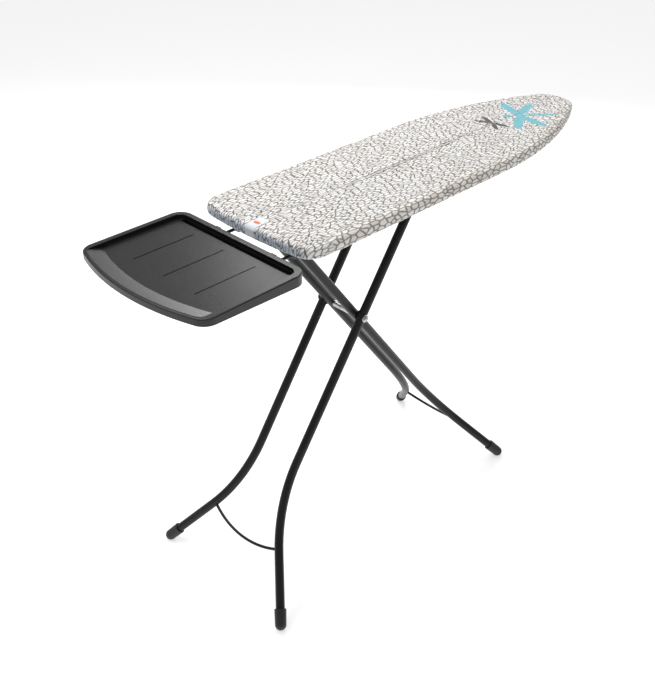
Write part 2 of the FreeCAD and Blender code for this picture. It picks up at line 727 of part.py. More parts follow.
def tray():
    """Moulded tray: raised edge, recessed floor, sloping lip, slot and three grooves."""
    low = TRAY_TOP - TRAY_DEPTH
    body = tray_block(0, low, TRAY_TOP, TRAY_CORNER)
    rims = [e for e in body.Edges if e.BoundBox.ZMin > TRAY_TOP - 0.01]
    body = body.makeFillet(TRAY_EDGE, rims)
    recess = tray_block(TRAY_RIM, TRAY_FLOOR, TRAY_TOP + 5.0, RECESS_CORNER, TRAY_LIP)
    feet = [e for e in recess.Edges if e.BoundBox.ZMax < TRAY_FLOOR + 0.01]
    body = body.cut(recess.makeFillet(RECESS_FILLET, feet))
    body = body.cut(tray_lip_cut())
    under = TRAY_FLOOR - TRAY_SHELL
    body = body.cut(tray_block(TRAY_SHELL, low, under, TRAY_CORNER - TRAY_SHELL))
    body = body.cut(skirt_cut())
    body = body.fuse(slot_block(1.5, under)).removeSplitter()
    body = body.cut(slot_block(0.0, TRAY_FLOOR + 1.0))
    for row in (-1, 0, 1):
        y = row * GROOVE_PITCH
        half = GROOVE_WIDTH / 2.0
        floor = TRAY_FLOOR - GROOVE_DEPTH
        groove = box(GROOVE_FRONT, GROOVE_BACK, y - half, y + half, floor, TRAY_FLOOR + 1.0)
        body = body.cut(groove)
    for side in SIDES.values():
        body = body.cut(tray_screws(side))
    return body


# ---------------------------------------------------------------- tray hinge

ARM_RADIUS = 4.0
ARM_Z = TRAY_TOP - TRAY_DEPTH - ARM_RADIUS - 0.5    # the skirt rests just above the arms
ARM_FRONT = -150.0           # where the arms end under the tray
SOCKET_START = 42.0
SOCKET_LENGTH = 55.0
EYE_RADIUS = 4.5
EYE_HALF = 2.5
PIN_RADIUS = 2.0
BRACKET_PLATE = 2.5          # thickness of the hinge bracket's plate
BRACKET_HALF = 14.0
EAR_THICKNESS = 3.5
EAR_RADIUS = 5.0
EAR_START = EYE_HALF + 0.4   # inner face of an ear, from the arm's middle
SCREW_OFFSET = 10.0


def tray_arm(side):
    """Steel rod from under the board, with an upright eye for the tray's hinge."""
    y = side * ARM_Y
    bar = rod(V(ARM_FRONT, y, ARM_Z), V(SOCKET_START + SOCKET_LENGTH - 5.0, y, ARM_Z), ARM_RADIUS)
    neck = box(HINGE_X - EYE_RADIUS, HINGE_X + EYE_RADIUS, y - EYE_HALF, y + EYE_HALF, ARM_Z, HINGE_Z)
    eye = cross_rod(HINGE_X, HINGE_Z, y - EYE_HALF, y + EYE_HALF, EYE_RADIUS)
    arm = bar.fuse([neck, eye]).removeSplitter()
    return arm.cut(cross_rod(HINGE_X, HINGE_Z, y - 20, y + 20, PIN_RADIUS + RUNNING))


def arm_socket(side):
    """Block under the rail that grips a tray arm."""
    y = side * ARM_Y
    end = SOCKET_START + SOCKET_LENGTH
    block = box(SOCKET_START, end, y - 10.0, y + 10.0, ARM_Z - 9.0, RAIL_BOTTOM)
    long_edges = [e for e in block.Edges if e.BoundBox.XLength > 1.0 and e.BoundBox.ZMax < ARM_Z]
    block = block.makeFillet(5.0, long_edges)
    return block.cut(tray_arm(side))


def hinge_bracket(side):
    """Plastic bracket screwed to the tray's back wall, with two ears round the eye."""
    y = side * ARM_Y
    face = TRAY_BACK + BRACKET_PLATE
    plate = box(TRAY_BACK, face, y - BRACKET_HALF, y + BRACKET_HALF, HINGE_Z - 10.0, HINGE_Z + 9.0)
    bracket = plate
    for turn in (-1.0, 1.0):
        near = y + turn * EAR_START
        far = near + turn * EAR_THICKNESS
        y0, y1 = min(near, far), max(near, far)
        ear = box(face, HINGE_X, y0, y1, HINGE_Z - EAR_RADIUS, HINGE_Z + EAR_RADIUS)
        bracket = bracket.fuse([ear, cross_rod(HINGE_X, HINGE_Z, y0, y1, EAR_RADIUS)])
    bracket = bracket.removeSplitter()
    bracket = bracket.cut(cross_rod(HINGE_X, HINGE_Z, y - 20, y + 20, PIN_RADIUS))
    return bracket.cut(tray_screws(side))


def hinge_pin(side):
    """Pin through the ears and the eye."""
    y = side * ARM_Y
    half = EAR_START + EAR_THICKNESS + 1.0
    return cross_rod(HINGE_X, HINGE_Z, y - half, y + half, PIN_RADIUS)


def tray_screws(side):
    """The two screws of one hinge bracket."""
    face = TRAY_BACK + BRACKET_PLATE
    screws = []
    for turn in (-1.0, 1.0):
        y = side * ARM_Y + turn * SCREW_OFFSET
        shank = rod(V(TRAY_BACK - TRAY_SHELL + 0.5, y, HINGE_Z), V(face, y, HINGE_Z), 1.4)
        head = rod(V(face, y, HINGE_Z), V(face + 1.5, y, HINGE_Z), 2.6)
        screws.append(shank.fuse(head).removeSplitter())
    return Part.makeCompound(screws)


# ---------------------------------------------------------------- write every piece

os.makedirs("parts", exist_ok=True)

save("cover", cover())
save("cover_label", cover_label())
save("foam_pad", foam_pad())
save("hem_elastic", hem_elastic())
save("rim_frame", rim_frame())
save("top_mesh", top_mesh())
for place, brace_x in BRACES.items():
    save("cross_brace_" + place, cross_brace(brace_x))
for place, guide_x in GUIDES.items():
    save("rack_guide_" + place, rack_guide(guide_x))

save("pivot_rod", pivot_rod())
save("pivot_rod_caps", pivot_rod_caps())
save("inner_top_tube", inner_top_tube())
save("inner_brace", brace_rod(INNER, 676.0, 28.0))
save("outer_crossbar", outer_crossbar())
save("outer_brace", brace_rod(OUTER, 648.0, 33.0))
save("axle_bolt", axle_bolt())
save("spacer_sleeve", spacer_sleeve())
save("axle_washers", axle_washers())
save("axle_nuts", axle_nuts())

save("height_rack", height_rack())
save("release_strap", release_strap())
save("release_grip", release_grip())
save("return_spring", return_spring())

save("tray", tray())

for name, sign in SIDES.items():
    save("side_rail_" + name, side_rail(sign))
    save("pivot_bracket_" + name, pivot_bracket(sign))
    save("pivot_bush_" + name, pivot_bush(sign))
    save("inner_leg_" + name, leg_tube(INNER, sign, TUBE_RADIUS + WELD_GAP, PIVOT_X, AXLE_RADIUS))
    save("inner_foot_" + name, foot_cap(INNER, sign))
    save("outer_leg_" + name, leg_tube(OUTER, sign, CROSSBAR_RADIUS, OUTER_TOP_X, BUSH_BARREL))
    save("outer_foot_" + name, foot_cap(OUTER, sign))
    save("crossbar_plug_" + name, crossbar_plug(sign))
    save("axle_bush_" + name, axle_bush(sign))
    save("tray_arm_" + name, tray_arm(sign))
    save("arm_socket_" + name, arm_socket(sign))
    save("hinge_bracket_" + name, hinge_bracket(sign))
    save("tray_screws_" + name, tray_screws(sign))
    save("hinge_pin_" + name, hinge_pin(sign))

print("origin from the rear edge", -SHIFT.x)
print("rear pivot", PIVOT_X + SHIFT.x, PIVOT_Z)
print("axle", AXLE_X + SHIFT.x, AXLE_Z)
print("crossbar", OUTER_TOP_X + SHIFT.x, PIVOT_Z)
print("tray hinge", HINGE_X + SHIFT.x, HINGE_Z)
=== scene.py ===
import json
import math

import bmesh
import bpy
import numpy as np
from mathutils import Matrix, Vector


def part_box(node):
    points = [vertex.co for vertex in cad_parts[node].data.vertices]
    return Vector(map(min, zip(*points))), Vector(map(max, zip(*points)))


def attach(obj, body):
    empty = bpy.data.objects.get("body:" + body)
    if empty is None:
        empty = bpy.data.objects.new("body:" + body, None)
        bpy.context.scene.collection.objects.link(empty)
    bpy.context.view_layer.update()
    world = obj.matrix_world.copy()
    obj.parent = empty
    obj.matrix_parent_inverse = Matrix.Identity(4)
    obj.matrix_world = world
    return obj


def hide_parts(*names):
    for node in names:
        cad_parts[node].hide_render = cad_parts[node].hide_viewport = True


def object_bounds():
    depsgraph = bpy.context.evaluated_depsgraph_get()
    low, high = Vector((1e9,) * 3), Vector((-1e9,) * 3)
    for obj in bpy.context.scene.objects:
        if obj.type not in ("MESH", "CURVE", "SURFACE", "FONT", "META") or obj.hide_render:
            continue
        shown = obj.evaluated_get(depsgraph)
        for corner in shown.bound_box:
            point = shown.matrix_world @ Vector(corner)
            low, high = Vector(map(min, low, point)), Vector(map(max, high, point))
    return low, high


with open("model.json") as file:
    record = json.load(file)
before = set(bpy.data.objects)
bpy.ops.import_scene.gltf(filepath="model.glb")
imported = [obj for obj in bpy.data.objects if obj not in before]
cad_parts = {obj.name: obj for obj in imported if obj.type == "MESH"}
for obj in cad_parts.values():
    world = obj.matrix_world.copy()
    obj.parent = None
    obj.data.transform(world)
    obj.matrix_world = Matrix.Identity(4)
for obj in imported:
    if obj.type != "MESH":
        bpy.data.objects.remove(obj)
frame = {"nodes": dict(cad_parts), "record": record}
cad_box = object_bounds()

# ---------------------------------------------------------------- sizes from the frame (metres)

COVER_LOW, COVER_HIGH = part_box("cover")
REAR_X = COVER_LOW.x                     # the board's square end
TOP_Z = COVER_HIGH.z
HEM_Z = COVER_LOW.z
HALF_WIDTH = COVER_HIGH.y

MM = 0.001

# the cover's print
NET_STIR = 60.0                          # scale of the noise that bends the net's lines
FINE_NET = ((47.0, 128.0, 1.0), math.radians(9.0), 0.0045)       # cells per metre, turn, wobble
COARSE_NET = ((44.0, 92.0, 1.0), math.radians(8.0), 0.006)
BORDER_WIDTH = 0.026                     # ochre border along the long edges
BORDER_WANDER = 0.008
BORDER_BLUR = 0.004
BORDER_START = (REAR_X + 0.05, REAR_X + 0.10)
# band where the cloth turns over the rear edge and is painted a cool grey shade
REAR_SHADE_BAND = (REAR_X - 0.004, REAR_X + 0.010)
BLOB_BLUR = 0.12                         # softness of a printed ellipse's edge, of its radius squared

# each insect: where its head and tail are, and its wing's length
LARGE_INSECT = ((REAR_X + 0.988, 0.012), (REAR_X + 1.107, -0.092), 0.105)
SMALL_INSECT = ((REAR_X + 0.925, 0.006), (REAR_X + 0.872, 0.012), 0.050)
HEAD_RADIUS = 0.07                       # these three are shares of the length from head to tail
BODY_RADII = (0.44, 0.045)
WING_ROOT = 0.22
WING_REACH = 0.54                        # these two are shares of the wing's length
WING_RADII = (0.5, 0.13)
WING_ANGLES = (math.radians(58.0), math.radians(104.0))

# length of one pair of threads in each cloth's weave
COVER_THREAD = 0.0011
LABEL_THREAD = 0.0007
FOAM_THREAD = 0.0024
ELASTIC_THREAD = 0.0009

# the label's one mark
MARK_PLACE = (REAR_X + 0.024, 0.0)
MARK_RADII = (0.006, 0.010)

# ---------------------------------------------------------------- material helpers


MIX_INPUTS = (0, 6, 7)        # factor and the two colours among a colour mix node's inputs
MIX_RESULT = 2                # colour among its outputs


class Shader:
    """A node material built one node at a time."""

    def __init__(self, name):
        self.material = bpy.data.materials.new(name)
        self.material.use_nodes = True
        self.tree = self.material.node_tree
        self.surface = self.tree.nodes["Principled BSDF"]

    def node(self, kind, inputs=None, **settings):
        """A new node with its settings and inputs filled in."""
        made = self.tree.nodes.new(kind)
        for key, value in settings.items():
            setattr(made, key, value)
        for key, value in (inputs or {}).items():
            self.feed(made.inputs[key], value)
        return made

    def feed(self, socket, value):
        """Link a socket to the input, or set a plain value."""
        if isinstance(value, bpy.types.NodeSocket):
            self.tree.links.new(value, socket)
        else:
            socket.default_value = value

    def set(self, **inputs):
        """Inputs of the surface, with _ for each space in their names."""
        for key, value in inputs.items():
            self.feed(self.surface.inputs[key.replace("_", " ")], value)

    def math(self, operation, first, second=0.0):
        """Result of one arithmetic operation."""
        made = self.node("ShaderNodeMath", operation=operation)
        for socket, value in zip(made.inputs, (first, second)):
            self.feed(socket, value)
        return made.outputs[0]

    def ramp(self, value, low, high, start=0.0, end=1.0):
        """Smooth step from start to end as the value goes from low to high."""
        made = self.node("ShaderNodeMapRange", interpolation_type="SMOOTHSTEP")
        for socket, item in zip(made.inputs, (value, low, high, start, end)):
            self.feed(socket, item)
        return made.outputs[0]

    def mix(self, factor, first, second, blend="MIX"):
        """Blend of two colours."""
        made = self.node("ShaderNodeMix", data_type="RGBA", blend_type=blend)
        for index, value in zip(MIX_INPUTS, (factor, first, second)):
            self.feed(made.inputs[index], value)
        return made.outputs[MIX_RESULT]

    def place(self, scale=(1, 1, 1)):
        """Object coordinates, stretched along the axes."""
        source = self.node("ShaderNodeTexCoord").outputs["Object"]
        made = self.node("ShaderNodeMapping")
        self.feed(made.inputs["Vector"], source)
        made.inputs["Scale"].default_value = scale
        return made.outputs[0]

    def noise(self, scale, detail, where=None):
        """Cloudy pattern; its features are about 1 / scale metres wide."""
        made = self.node("ShaderNodeTexNoise")
        made.inputs["Scale"].default_value = scale
        made.inputs["Detail"].default_value = detail
        self.feed(made.inputs["Vector"], where or self.place())
        return made.outputs["Fac"]

    def bump(self, height, strength, distance):
        """Raise the surface by a pattern, over a distance in metres."""
        made = self.node("ShaderNodeBump")
        made.inputs["Strength"].default_value = strength
        made.inputs["Distance"].default_value = distance
        self.feed(made.inputs["Height"], height)
        self.feed(self.surface.inputs["Normal"], made.outputs[0])


def rgb(red, green, blue):
    """Opaque linear colour."""
    return (red, green, blue, 1.0)


# ---------------------------------------------------------------- hard materials


def powder_coat(name, shade, gloss):
    """Black powder coat: fine orange peel, faint dust and rubbed sheen."""
    s = Shader(name)
    peel = s.noise(1400.0, 2.0)
    patch = s.noise(9.0, 3.0)
    tone = s.ramp(patch, 0.35, 0.7, 0.8, 1.25)
    dark = rgb(shade, shade, shade * 1.03)
    light = rgb(shade * 1.5, shade * 1.5, shade * 1.52)
    colour = s.mix(s.ramp(peel, 0.3, 0.75), dark, light)
    s.set(Base_Color=s.mix(1.0, colour, tone, "MULTIPLY"))
    s.set(Roughness=s.ramp(patch, 0.3, 0.75, gloss, gloss + 0.1))
    s.set(Specular_IOR_Level=0.28)
    s.bump(peel, 0.12, 0.0004)
    return s.material


def zinc_plate():
    """Bright zinc with the cloudy variation of plating and fine drawn lines."""
    s = Shader("zinc_plate")
    cloud = s.noise(120.0, 4.0)
    lines = s.noise(900.0, 2.0, s.place((1.0, 0.05, 1.0)))
    s.set(Base_Color=s.mix(s.ramp(cloud, 0.3, 0.7), rgb(0.42, 0.43, 0.45), rgb(0.68, 0.69, 0.70)))
    s.set(Roughness=s.ramp(cloud, 0.25, 0.75, 0.24, 0.42), Metallic=1.0)
    s.bump(lines, 0.15, 0.0002)
    return s.material


def moulded_plastic(name, shade, rough, grain_scale, grain_depth):
    """Black plastic with a spark-eroded grain."""
    s = Shader(name)
    grain = s.noise(grain_scale, 2.0)
    cloud = s.noise(5.0, 3.0)
    dark = rgb(shade * 0.88, shade * 0.88, shade * 0.9)
    light = rgb(shade * 1.12, shade * 1.12, shade * 1.14)
    s.set(Base_Color=s.mix(s.ramp(cloud, 0.3, 0.7), dark, light))
    s.set(Roughness=s.ramp(grain, 0.3, 0.7, rough - 0.04, rough + 0.06))
    s.set(Specular_IOR_Level=0.5)
    s.bump(grain, grain_depth, 0.0002)
    return s.material


# ---------------------------------------------------------------- cloth materials


def weave(s, where, thread):
    """Plain weave height: two crossing sets of threads, one pair in each thread length."""
    split = s.node("ShaderNodeSeparateXYZ")
    s.feed(split.inputs[0], where)
    turns = 2.0 * math.pi / thread
    warp = s.math("SINE", s.math("MULTIPLY", split.outputs[0], turns))
    weft = s.math("SINE", s.math("MULTIPLY", split.outputs[1], turns))
    return s.math("MULTIPLY", warp, weft)


def blob(s, split, centre, radii, turn):
    """Soft-edged ellipse on the cloth: 1 inside, 0 outside."""
    across = s.math("SUBTRACT", split.outputs[0], centre[0])
    along = s.math("SUBTRACT", split.outputs[1], centre[1])
    cosine, sine = math.cos(turn), math.sin(turn)
    first = s.math("ADD", s.math("MULTIPLY", across, cosine), s.math("MULTIPLY", along, sine))
    second = s.math("SUBTRACT", s.math("MULTIPLY", along, cosine), s.math("MULTIPLY", across, sine))
    first = s.math("POWER", s.math("ABSOLUTE", s.math("DIVIDE", first, radii[0])), 2.0)
    second = s.math("POWER", s.math("ABSOLUTE", s.math("DIVIDE", second, radii[1])), 2.0)
    return s.ramp(s.math("ADD", first, second), 1.0 - BLOB_BLUR, 1.0 + BLOB_BLUR, 1.0, 0.0)


def insect(s, split, head, tail, wing):
    """Plain winged insect made of ellipses: a head, a long body and four wings."""
    run = Vector(tail) - Vector(head)
    turn = math.atan2(run.y, run.x)
    middle = (Vector(head) + Vector(tail)) / 2.0
    parts = [
        blob(s, split, head, (HEAD_RADIUS * run.length, HEAD_RADIUS * run.length), turn),
        blob(s, split, middle, (BODY_RADII[0] * run.length, BODY_RADII[1] * run.length), turn),
    ]
    root = Vector(head) + run * WING_ROOT
    for angle in WING_ANGLES:
        for side in (-1.0, 1.0):
            lie = turn + side * angle
            reach = Vector((math.cos(lie), math.sin(lie))) * wing * WING_REACH
            parts.append(blob(s, split, root + reach, (wing * WING_RADII[0], wing * WING_RADII[1]), lie))
    whole = parts[0]
    for part in parts[1:]:
        whole = s.math("MAXIMUM", whole, part)
    return whole


def net(s, where, scale, turn, wobble):
    """Stretched cells: distance to the nearest cell edge, and a random tone per cell."""
    stir = s.node("ShaderNodeTexNoise", {"Scale": NET_STIR, "Detail": 2.0, "Vector": where})
    shift = s.node("ShaderNodeVectorMath", operation="SCALE")
    s.feed(shift.inputs[0], stir.outputs["Color"])
    s.feed(shift.inputs["Scale"], wobble)
    moved = s.node("ShaderNodeVectorMath", operation="ADD")
    s.feed(moved.inputs[0], where)
    s.feed(moved.inputs[1], shift.outputs[0])
    stretch = s.node("ShaderNodeMapping", {"Vector": moved.outputs[0]})
    stretch.inputs["Scale"].default_value = scale
    stretch.inputs["Rotation"].default_value = (0, 0, turn)
    edge, cell = (
        s.node(
            "ShaderNodeTexVoronoi", {"Scale": 1.0, "Vector": stretch.outputs[0]},
            voronoi_dimensions="2D", feature=feature,
        )
        for feature in ("DISTANCE_TO_EDGE", "F1")
    )
    pick = s.node("ShaderNodeSeparateColor")
    s.feed(pick.inputs[0], cell.outputs["Color"])
    return edge.outputs["Distance"], pick.outputs[0]


def cover_cloth():
    """Off-white cotton printed with a fine net, an ochre border and two winged insects, and painted shade
    over the rear edge.
    """
    s = Shader("cover_cloth")
    where = s.node("ShaderNodeUVMap", uv_map="cloth").outputs[0]
    inward = s.node("ShaderNodeAttribute", attribute_name="inward").outputs["Fac"]
    split = s.node("ShaderNodeSeparateXYZ", {0: where})
    grain = s.noise(90.0, 2.0, where)
    patch = s.noise(16.0, 3.0, where)

    distance, tone = net(s, where, *FINE_NET)
    thickness = s.ramp(grain, 0.32, 0.68, 0.035, 0.155)
    line = s.ramp(distance, s.math("MULTIPLY", thickness, 0.4), s.math("ADD", thickness, 0.06), 1.0, 0.0)
    lit = s.math("MULTIPLY", s.ramp(distance, 0.10, 0.26), s.ramp(tone, 0.15, 0.6))
    ground = s.mix(lit, rgb(0.80, 0.775, 0.745), rgb(0.95, 0.94, 0.925))
    ink = s.mix(s.ramp(patch, 0.35, 0.65), rgb(0.04, 0.035, 0.032), rgb(0.10, 0.08, 0.065))
    colour = s.mix(s.math("MULTIPLY", line, s.ramp(patch, 0.3, 0.6, 0.7, 0.95)), ground, ink)

    # along both long edges the net is coarser and ochre
    wide, wide_tone = net(s, where, *COARSE_NET)
    wide_line = s.ramp(wide, 0.05, 0.20, 1.0, 0.0)
    wide_ground = s.mix(s.ramp(wide_tone, 0.2, 0.7), rgb(0.80, 0.76, 0.71), rgb(0.93, 0.91, 0.88))
    ochre = s.mix(s.math("MULTIPLY", wide_line, 0.75), wide_ground, rgb(0.085, 0.055, 0.03))
    border = s.math("ADD", inward, s.ramp(patch, 0.2, 0.8, -BORDER_WANDER, BORDER_WANDER))
    beside = s.ramp(border, BORDER_WIDTH - BORDER_BLUR, BORDER_WIDTH + BORDER_BLUR, 1.0, 0.0)
    beside = s.math("MULTIPLY", beside, s.ramp(split.outputs[0], *BORDER_START))
    colour = s.mix(beside, colour, ochre)

    # the cloth over the rear edge is painted a cool grey shade, with the print's dark net lines kept on it
    painted_rear_shade = s.mix(s.math("MULTIPLY", line, 0.8), rgb(0.60, 0.66, 0.74), rgb(0.035, 0.035, 0.045))
    rear = s.ramp(split.outputs[0], *REAR_SHADE_BAND, 1.0, 0.0)
    colour = s.mix(rear, colour, painted_rear_shade)

    large = insect(s, split, *LARGE_INSECT)
    vein = s.math("MULTIPLY", s.ramp(distance, 0.02, 0.10, 1.0, 0.0), 0.5)
    teal = s.mix(vein, rgb(0.20, 0.56, 0.64), rgb(0.06, 0.28, 0.34))
    colour = s.mix(large, colour, teal)
    small = insect(s, split, *SMALL_INSECT)
    colour = s.mix(small, colour, rgb(0.09, 0.08, 0.075))

    s.set(Base_Color=colour, Roughness=0.85, Sheen_Weight=0.2, Sheen_Roughness=0.5)
    s.set(Specular_IOR_Level=0.2)
    s.bump(weave(s, where, COVER_THREAD), 0.25, 0.00015)
    return s.material


def plain_cloth(name, light, dark, thread):
    """Woven or felted cloth in one family of tones."""
    s = Shader(name)
    where = s.place()
    fuzz = s.noise(700.0, 3.0)
    cloud = s.noise(25.0, 3.0)
    s.set(Base_Color=s.mix(s.ramp(s.math("MULTIPLY", fuzz, cloud), 0.12, 0.40), dark, light))
    s.set(Roughness=0.92, Sheen_Weight=0.2, Specular_IOR_Level=0.2)
    s.bump(weave(s, where, thread), 0.3, 0.0002)
    return s.material


def label_cloth():
    """White woven label with one small orange oval."""
    s = Shader("label_cloth")
    where = s.node("ShaderNodeUVMap", uv_map="cloth").outputs[0]
    split = s.node("ShaderNodeSeparateXYZ", {0: where})
    mark = blob(s, split, MARK_PLACE, MARK_RADII, 0.0)
    fuzz = s.noise(600.0, 2.0, where)
    white = s.mix(s.ramp(fuzz, 0.3, 0.7), rgb(0.74, 0.78, 0.84), rgb(0.86, 0.88, 0.92))
    s.set(Base_Color=s.mix(mark, white, rgb(0.85, 0.16, 0.03)), Roughness=0.6)
    s.bump(weave(s, where, LABEL_THREAD), 0.3, 0.0001)
    return s.material


# ---------------------------------------------------------------- paint the CAD pieces

TUBE = powder_coat("powder_coat_tube", 0.011, 0.30)
STEEL = powder_coat("powder_coat_sheet", 0.018, 0.42)
ZINC = zinc_plate()
BLACK_PLASTIC = moulded_plastic("black_plastic", 0.022, 0.42, 900.0, 0.2)
TRAY_PLASTIC = moulded_plastic("tray_plastic", 0.009, 0.30, 1100.0, 0.25)
SHOE = moulded_plastic("shoe_plastic", 0.02, 0.5, 800.0, 0.2)
COVER = cover_cloth()
LABEL = label_cloth()
FOAM = plain_cloth("foam", rgb(0.78, 0.77, 0.73), rgb(0.60, 0.59, 0.56), FOAM_THREAD)
ELASTIC = plain_cloth("elastic", rgb(0.80, 0.79, 0.76), rgb(0.60, 0.59, 0.57), ELASTIC_THREAD)

FINISHES = {
    "black_tube": TUBE,
    "black_steel": STEEL,
    "zinc_steel": ZINC,
    "black_plastic": BLACK_PLASTIC,
    "tray_plastic": TRAY_PLASTIC,
    "foot_rubber": SHOE,
    "cover_cloth": COVER,
    "label_cloth": LABEL,
    "foam": FOAM,
    "elastic": ELASTIC,
}


def paint_cad():
    """Give every CAD node the finish of its slot in the record."""
    slots = {row["node"]: row["material_slot"] for row in frame["record"]["subparts"]}
    for name, node in frame["nodes"].items():
        finish = FINISHES.get(slots[name])
        if finish is None:
            continue
        node.data.materials.clear()
        node.data.materials.append(finish)


paint_cad()

# ---------------------------------------------------------------- cover, label and foam

COVER_ROUND = 10 * MM
HEM_REACH = 32 * MM          # how far the hem turns in underneath
PINNED_INSET = 50 * MM       # further in than this the cloth lies still on its pad
EDGE_TURN = 15.0             # degrees between rows where the cloth turns down over the edge
HEM_TURN = 22.5              # degrees between rows where it turns in underneath
SIDE_STATIONS = 5            # heights down the upright edge, both ends counted
HEM_STATIONS = 7             # insets along the hem, both ends counted
PAD_TURN = 22.5              # degrees between rows round the pad's edge
PAD_MIDDLE = 0.6             # a row between the pad's edge and the pinned line, as a share of its inset
TOP_ROWS = 12                # rows of cloth from the pinned line out to where the edge starts to turn down
OUTLINE_STEP = 1 * MM        # between samples of the outline before it is thinned out
SMOOTH_REACH = 4             # samples on each side that a smoothed sample takes in
WAY_REACH = 3                # samples on each side that give the outline's direction
BEND_REACH = 6               # samples on each side that give its bend
TIGHT_BEND = 4.0             # radians per metre; more than this is a corner
REAR_REACH = 20 * MM         # stations are close together this near the rear edge
EDGE_STEP = 7 * MM           # between stations along the straight edges
CORNER_STEP = 3.2 * MM
HEM_ROUND = 0.8              # radius of the turn under the edge, as a share of the turn above it
INNER_RINGS = 14             # from the board's middle line out to the pinned line
INNERMOST = 0.02             # the first ring, as a share of the way out
SPINE_REAR = 0.5             # where the middle line starts and stops, in half widths from the ends
SPINE_NOSE = 0.6
SPINE_REACH = 10 * MM        # edges this near the middle line belong to it
FAR_INSIDE = 0.2             # "inward" well away from the edge, in metres
STRAIGHT = 1e-12             # a hull corner that turns less than this is left out

# the cloth simulation
SIM_FRAMES = 14
STIR_SEED = 11
STIR = 0.25 * MM             # uneven start, so that the folds aren't regular
FORM_GAP = 1.2 * MM          # from the cloth in to the form it lies on
CLEARANCE = 0.6 * MM
CORNER_BEND = 14.0           # bend at which the cloth is cut fullest, radians per metre
REAR_FADE = 30 * MM
LEAST_FULL = 0.25
REAR_FULL = 0.6
GROWTH = -0.16               # shrink factor where the cloth is fullest; below zero it grows
HEM_ROWS_HELD = 2
MOST_SWELL = 6 * MM
REAR_SWELL = 0.2 * MM        # the folded tray stands close behind the rear edge
PAD_DIP = 0.2 * MM           # mean depth of the unevenness in the pad's faces
PAD_WAVE = 90.0              # these three are waves along and across the pad, radians per metre
PAD_DRIFT = 41.0
PAD_CROSS_WAVE = 95.0
LABEL_LIFT = 0.25 * MM
LABEL_THICKNESS = 0.35 * MM


def hull(points):
    """Convex outline of some points in the plane, counterclockwise."""
    ordered = sorted(set(points))

    def half(run):
        chain = []
        for point in run:
            while len(chain) > 1:
                ax, ay = chain[-1][0] - chain[-2][0], chain[-1][1] - chain[-2][1]
                bx, by = point[0] - chain[-1][0], point[1] - chain[-1][1]
                if ax * by - ay * bx > STRAIGHT:
                    break
                chain.pop()
            chain.append(point)
        return chain[:-1]

    return half(ordered) + half(ordered[::-1])


def board_outline():
    """Stations round the cover's outline, with the inward direction and the bend at each."""
    corners = [(round(v.co.x, 5), round(v.co.y, 5)) for v in frame["nodes"]["cover"].data.vertices]
    ring = np.array(hull(corners))
    ring = np.vstack([ring, ring[:1]])
    runs = np.r_[0.0, np.cumsum(np.hypot(*np.diff(ring, axis=0).T))]
    fine = np.arange(0.0, runs[-1], OUTLINE_STEP)
    points = np.stack([np.interp(fine, runs, ring[:, k]) for k in (0, 1)], axis=1)
    span = 2 * SMOOTH_REACH + 1
    window = np.ones(span) / span
    for k in (0, 1):
        padded = np.r_[points[-SMOOTH_REACH:, k], points[:, k], points[:SMOOTH_REACH, k]]
        points[:, k] = np.convolve(padded, window, "valid")
    way = np.roll(points, -WAY_REACH, axis=0) - np.roll(points, WAY_REACH, axis=0)
    way /= np.hypot(way[:, 0], way[:, 1])[:, None]
    inward = np.stack([-way[:, 1], way[:, 0]], axis=1)
    turned = np.roll(way, -BEND_REACH, axis=0) - np.roll(way, BEND_REACH, axis=0)
    bend = np.hypot(*turned.T) / (2 * BEND_REACH * OUTLINE_STEP)
    close = (bend > TIGHT_BEND) | (points[:, 0] < REAR_X + REAR_REACH)
    count = np.cumsum(OUTLINE_STEP / np.where(close, CORNER_STEP, EDGE_STEP))
    keep = np.searchsorted(count, np.arange(0.0, count[-1] - 0.5))
    return points[keep], inward[keep], bend[keep]


def profile(round_radius, top, low, hem, depth=0.0):
    """Rows from the pinned line round the edge to the hem, and each one's inset on the flat cloth."""
    rows = []
    for inset in np.linspace(PINNED_INSET, round_radius, TOP_ROWS):
        rows.append((inset, top))
    for angle in np.radians(np.arange(EDGE_TURN, 91.0, EDGE_TURN)):
        rows.append((round_radius * (1 - math.sin(angle)), top - round_radius * (1 - math.cos(angle))))
    bottom = round_radius * HEM_ROUND
    for z in np.linspace(top - round_radius, low + bottom, SIDE_STATIONS)[1:]:
        rows.append((0.0, z))
    for angle in np.radians(np.arange(HEM_TURN, 91.0, HEM_TURN)):
        rows.append((bottom * (1 - math.cos(angle)), low + bottom * (1 - math.sin(angle))))
    for inset in np.linspace(bottom, hem, HEM_STATIONS)[1:]:
        rows.append((inset, low))
    rows = np.array(rows)
    rows[:, 0] += depth
    gone = np.r_[0.0, np.cumsum(np.hypot(*np.diff(rows, axis=0).T))]
    return rows, PINNED_INSET - gone


def ring_mesh(name, rings, flats, depths):
    """Mesh through rings of points, with its flat pattern as the "cloth" map and each point's depth."""
    count = len(rings[0])
    faces = []
    for a in range(0, (len(rings) - 1) * count, count):
        b = a + count
        for k in range(count):
            nxt = (k + 1) % count
            faces.append((a + k, b + k, b + nxt, a + nxt))
    mesh = bpy.data.meshes.new(name)
    mesh.from_pydata(np.vstack(rings).tolist(), [], faces)
    flat = np.vstack(flats)
    layer = mesh.uv_layers.new(name="cloth")
    loops = np.empty(len(mesh.loops), int)
    mesh.loops.foreach_get("vertex_index", loops)
    layer.data.foreach_set("uv", flat[loops].astype(np.float32).ravel())
    mesh.attributes.new("inward", "FLOAT", "POINT")
    mesh.attributes["inward"].data.foreach_set("value", np.concatenate(depths).astype(np.float32))
    mesh.shade_smooth()
    return mesh


